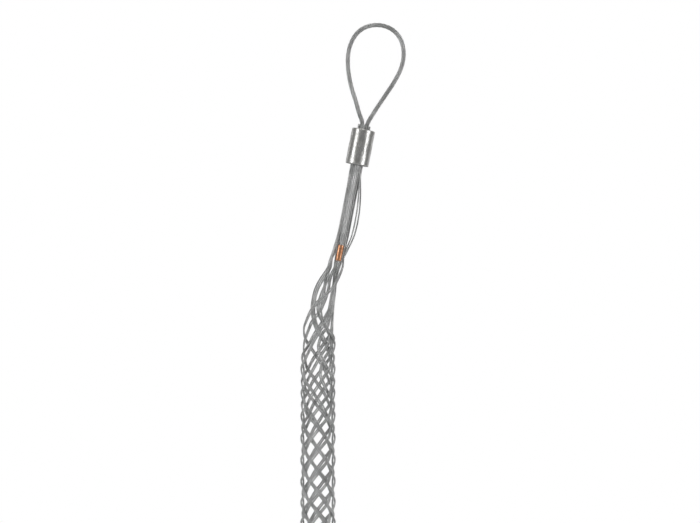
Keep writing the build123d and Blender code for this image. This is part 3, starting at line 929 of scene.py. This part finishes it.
def press_marks(piece):
    """Shallow flats left by the dies, with a low ridge on the parting line at each side."""
    for vertex in piece.data.vertices:
        x, y, z = vertex.co
        reach = hypot(x, y)
        if reach < FERRULE_DIAMETER / 2000 * 0.9:
            continue
        around = atan2(y, x)
        along = z / half_ferrule
        flats = 0.00012 * (0.5 - 0.5 * cos(6 * around + 0.7)) * exp(-((along - 0.1) ** 2) / 0.3)
        ridge = 0.00016 * exp(-((abs(sin(around)) / 0.06) ** 2)) * exp(-(along**2) / 0.5)
        waist = 0.00018 * exp(-((along - 0.32) ** 2) / 0.012)
        grow = 1 + (ridge - flats - waist - 0.00010) / reach
        vertex.co.x, vertex.co.y = x * grow, y * grow


press_marks(ferrule)
clouds = bpy.data.textures.new("dents", "CLOUDS")
clouds.noise_scale = 0.006
clouds.noise_depth = 2
dents = ferrule.modifiers.new("dents", "DISPLACE")
dents.texture = clouds
dents.texture_coords = "LOCAL"
dents.strength = 0.00035
dents.mid_level = 0.6
bpy.ops.object.modifier_apply(modifier=dents.name)
stand_on_lead(ferrule, 0, -FERRULE_LENGTH / 2)
ferrule.data.materials.append(FERRULE_FINISH)
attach(ferrule, "head")
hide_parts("ferrule")

# ---- splice sleeve ----
SLEEVE_WALL = 0.00065
SLEEVE_MOUTH_DEPTH = 0.0015
half_sleeve = SPLICE_LENGTH / 2000
sleeve_radius = SPLICE_DIAMETER / 2000
sleeve = turned_tube(
    "copper_splice",
    sleeve_radius,
    sleeve_radius - SLEEVE_WALL,
    SPLICE_LENGTH / 1000,
    SLEEVE_MOUTH_DEPTH,
    48,
)
add_bevel(sleeve, 0.00025, 3, 50)
cut_rings(sleeve, [half_sleeve * share for share in np.linspace(-0.88, 0.88, 23)])
for vertex in sleeve.data.vertices:
    along = vertex.co.z / half_sleeve
    crimps = sum(exp(-(((along - place) / 0.13) ** 2)) for place in (-0.5, 0.0, 0.5))
    vertex.co.y *= SPLICE_DEPTH / SPLICE_DIAMETER * (1 - 0.1 * crimps)
    vertex.co.x *= 1 + 0.015 * crimps - 0.02
stand_on_lead(sleeve, SPLICE_STANDOFF, SPLICE_MIDDLE)
sleeve.data.materials.append(COPPER_FINISH)
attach(sleeve, "mesh")
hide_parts("splice_sleeve")


# ---- floor, lights and camera ----
FLOOR_RADIUS = 0.85
FLOOR_HEIGHT = -0.006
CAMERA_DISTANCE = 1.822

clear_selection()
bpy.ops.mesh.primitive_circle_add(
    vertices=96, radius=FLOOR_RADIUS, fill_type="NGON", location=(0.03, 0, FLOOR_HEIGHT)
)
floor = bpy.context.object
floor.name = "floor"
floor.data.materials.append(pale_floor("pale_floor"))

GRIP_MIDDLE = Vector((0.03, 0, 0.3726))


def panel(name, azimuth, distance, height, width, tall, power):
    """A soft panel light round the grip, at an azimuth counted from the front toward +X."""
    light = bpy.data.lights.new(name, "AREA")
    light.shape = "RECTANGLE"
    light.size = width
    light.size_y = tall
    light.energy = power
    lamp = bpy.data.objects.new(name, light)
    turn = radians(azimuth)
    lamp.location = (distance * sin(turn), -distance * cos(turn), height)
    lamp.rotation_euler = (GRIP_MIDDLE - lamp.location).to_track_quat("-Z", "Y").to_euler()
    bpy.context.scene.collection.objects.link(lamp)


panel("left_panel", -58, 1.6, 0.6, 0.55, 1.6, 9.5)
panel("right_panel", 58, 1.6, 0.6, 0.5, 1.6, 8.0)
panel("front_fill", 0, 2.6, 1.9, 0.8, 0.5, 3.0)
panel("back_left", -135, 1.7, 0.8, 0.3, 1.4, 2.0)
panel("back_right", 135, 1.7, 0.8, 0.3, 1.4, 2.0)
panel("top_panel", 90, 0.02, 1.9, 0.8, 0.8, 6.0)

world = bpy.data.worlds.new("studio")
bpy.context.scene.world = world
world.use_nodes = True
world_nodes, world_links = world.node_tree.nodes, world.node_tree.links
world_nodes.clear()
sky = world_nodes.new("ShaderNodeOutputWorld")
seen = world_nodes.new("ShaderNodeBackground")
seen.inputs["Color"].default_value = (1, 1, 1, 1)
seen.inputs["Strength"].default_value = 1.0
room = world_nodes.new("ShaderNodeBackground")
room.inputs["Color"].default_value = (0.2, 0.2, 0.2, 1)
room.inputs["Strength"].default_value = 1.0
either = world_nodes.new("ShaderNodeMixShader")
path = world_nodes.new("ShaderNodeLightPath")
world_links.new(path.outputs["Is Camera Ray"], either.inputs[0])
world_links.new(room.outputs[0], either.inputs[1])
world_links.new(seen.outputs[0], either.inputs[2])
world_links.new(either.outputs[0], sky.inputs["Surface"])

bpy.context.scene.view_settings.view_transform = "Standard"

lens = bpy.data.cameras.new("camera")
lens.lens = 100
lens.sensor_width = 36
lens.clip_start = 0.01
camera = bpy.data.objects.new("camera", lens)
camera.location = (GRIP_MIDDLE.x, -CAMERA_DISTANCE, GRIP_MIDDLE.z)
camera.rotation_euler = (pi / 2, 0, 0)
bpy.context.scene.collection.objects.link(camera)
bpy.context.scene.camera = camera
